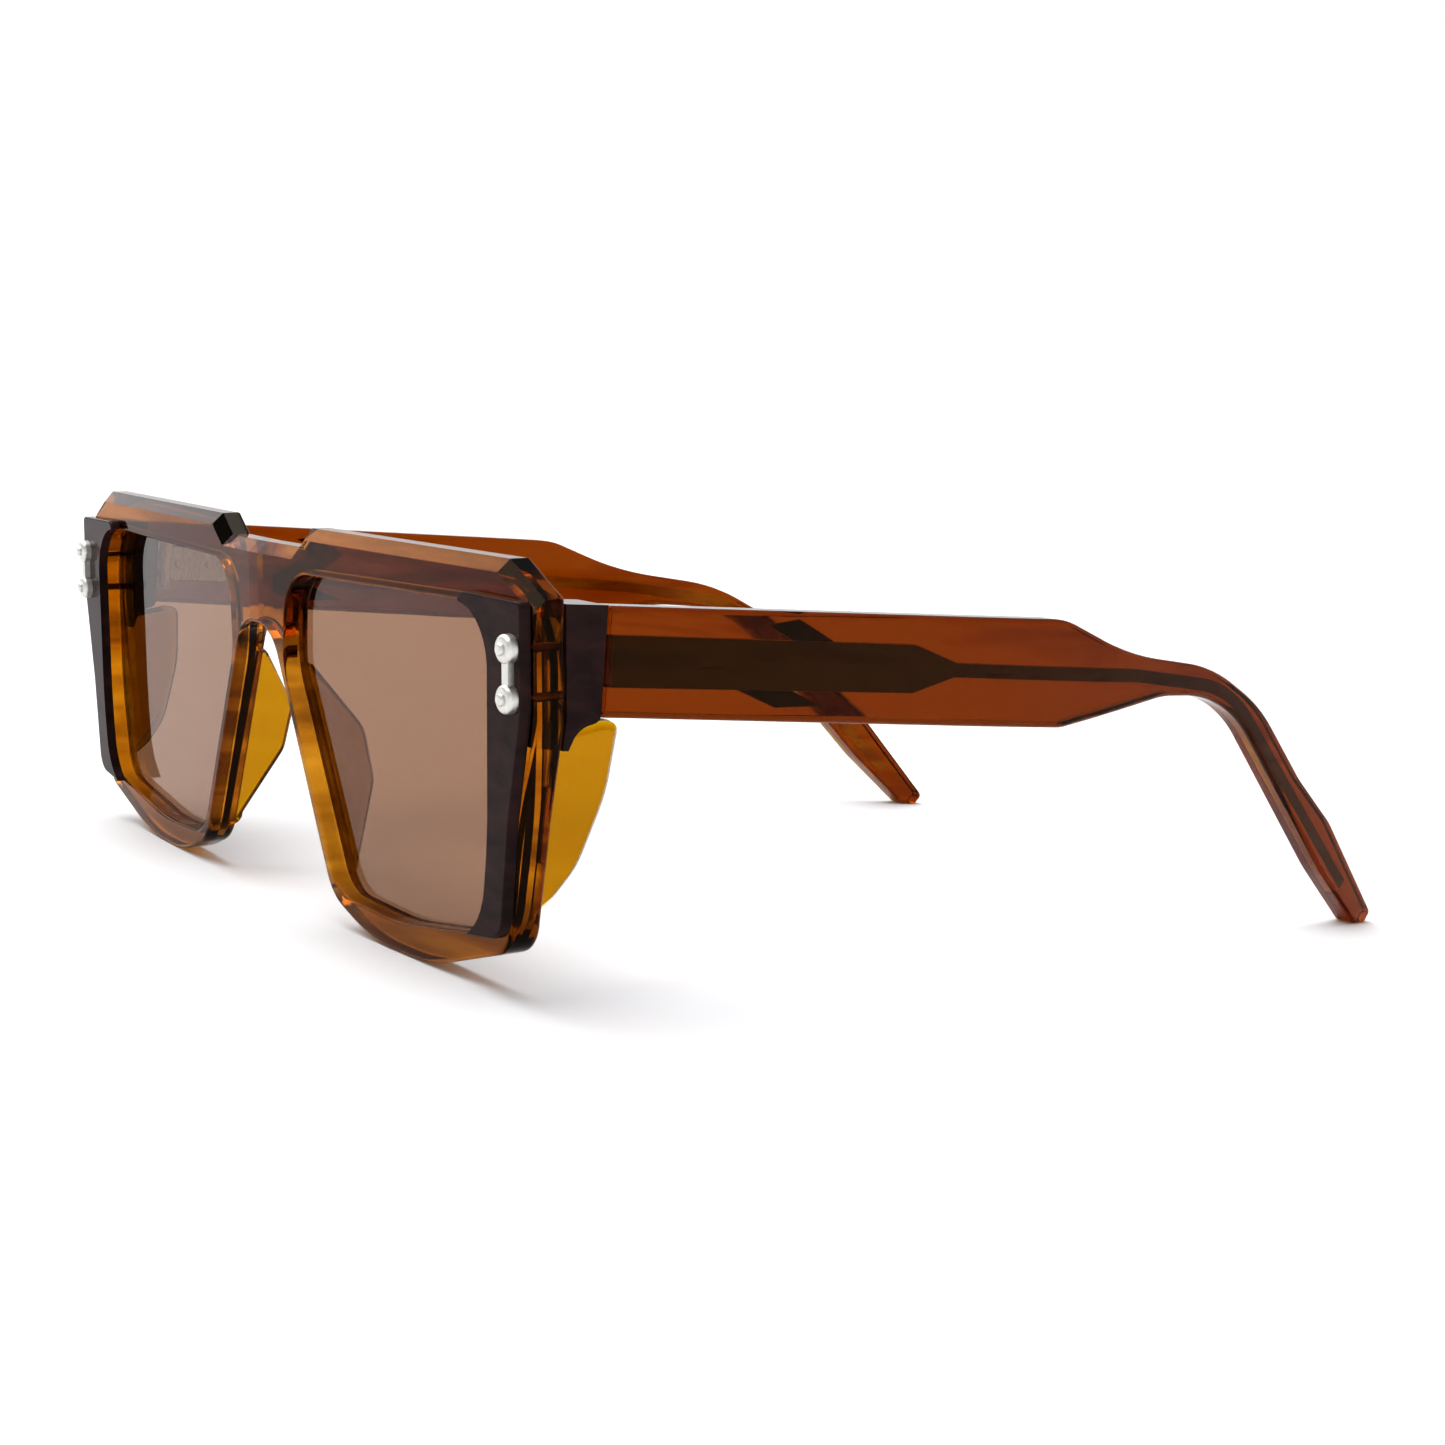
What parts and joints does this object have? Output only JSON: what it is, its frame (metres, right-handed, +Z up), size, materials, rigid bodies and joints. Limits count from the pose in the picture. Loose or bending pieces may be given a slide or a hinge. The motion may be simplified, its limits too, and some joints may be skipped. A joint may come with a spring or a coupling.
{
  "type": "glacier glasses",
  "caption": "Thick acetate sunglasses with a notched brow, side shields, nose pads, riveted side panels and two folding temples on barrel hinges.",
  "frame": {"origin": "on the surface that the open glasses stand on, under the middle of the face of the bridge", "axes": "+X to the wearer's left, +Y back along the temples, +Z up"},
  "size_m": [0.1406, 0.1538, 0.0496],
  "materials": {
    "acetate": "polished translucent brown acetate",
    "dark_panel": "polished dark plum acetate",
    "amber": "polished translucent amber acetate",
    "lens": "tinted brown, polished",
    "plaque": "polished nickel",
    "hinge": "satin nickel silver",
    "screw": "polished steel",
    "core": "satin nickel silver",
    "inlay": "dark plum acetate"
  },
  "bodies": {
    "front": {"front_frame": "acetate", "rivet_studs": "plaque", "hinge_screws": "screw", "endpiece_left": "dark_panel", "endpiece_right": "dark_panel", "side_panel_left": "dark_panel", "side_panel_right": "dark_panel", "lens_left": "lens", "lens_right": "lens", "nose_pad_left": "amber", "nose_pad_right": "amber", "side_shield_left": "amber", "side_shield_right": "amber", "rivet_plaque_left": "plaque", "rivet_plaque_right": "plaque", "hinge_front_leaf_left": "hinge", "hinge_front_leaf_right": "hinge"},
    "temple_left": {"temple_left": "acetate", "temple_core_left": "core", "temple_inlay_left": "inlay", "hinge_temple_leaf_left": "hinge", "temple_leaf_pins_left": "screw"},
    "temple_right": {"temple_right": "acetate", "temple_core_right": "core", "temple_inlay_right": "inlay", "hinge_temple_leaf_right": "hinge", "temple_leaf_pins_right": "screw"}
  },
  "joints": [
    {"name": "fold_left", "type": "hinge", "parent": "front", "child": "temple_left", "pos_m": [0.0647, 0.0099, 0.0387], "axis": [0, 0, 1], "range_deg": [0, 83]},
    {"name": "fold_right", "type": "hinge", "parent": "front", "child": "temple_right", "pos_m": [-0.0647, 0.0099, 0.0387], "axis": [0, 0, -1], "range_deg": [0, 65]}
  ]
}
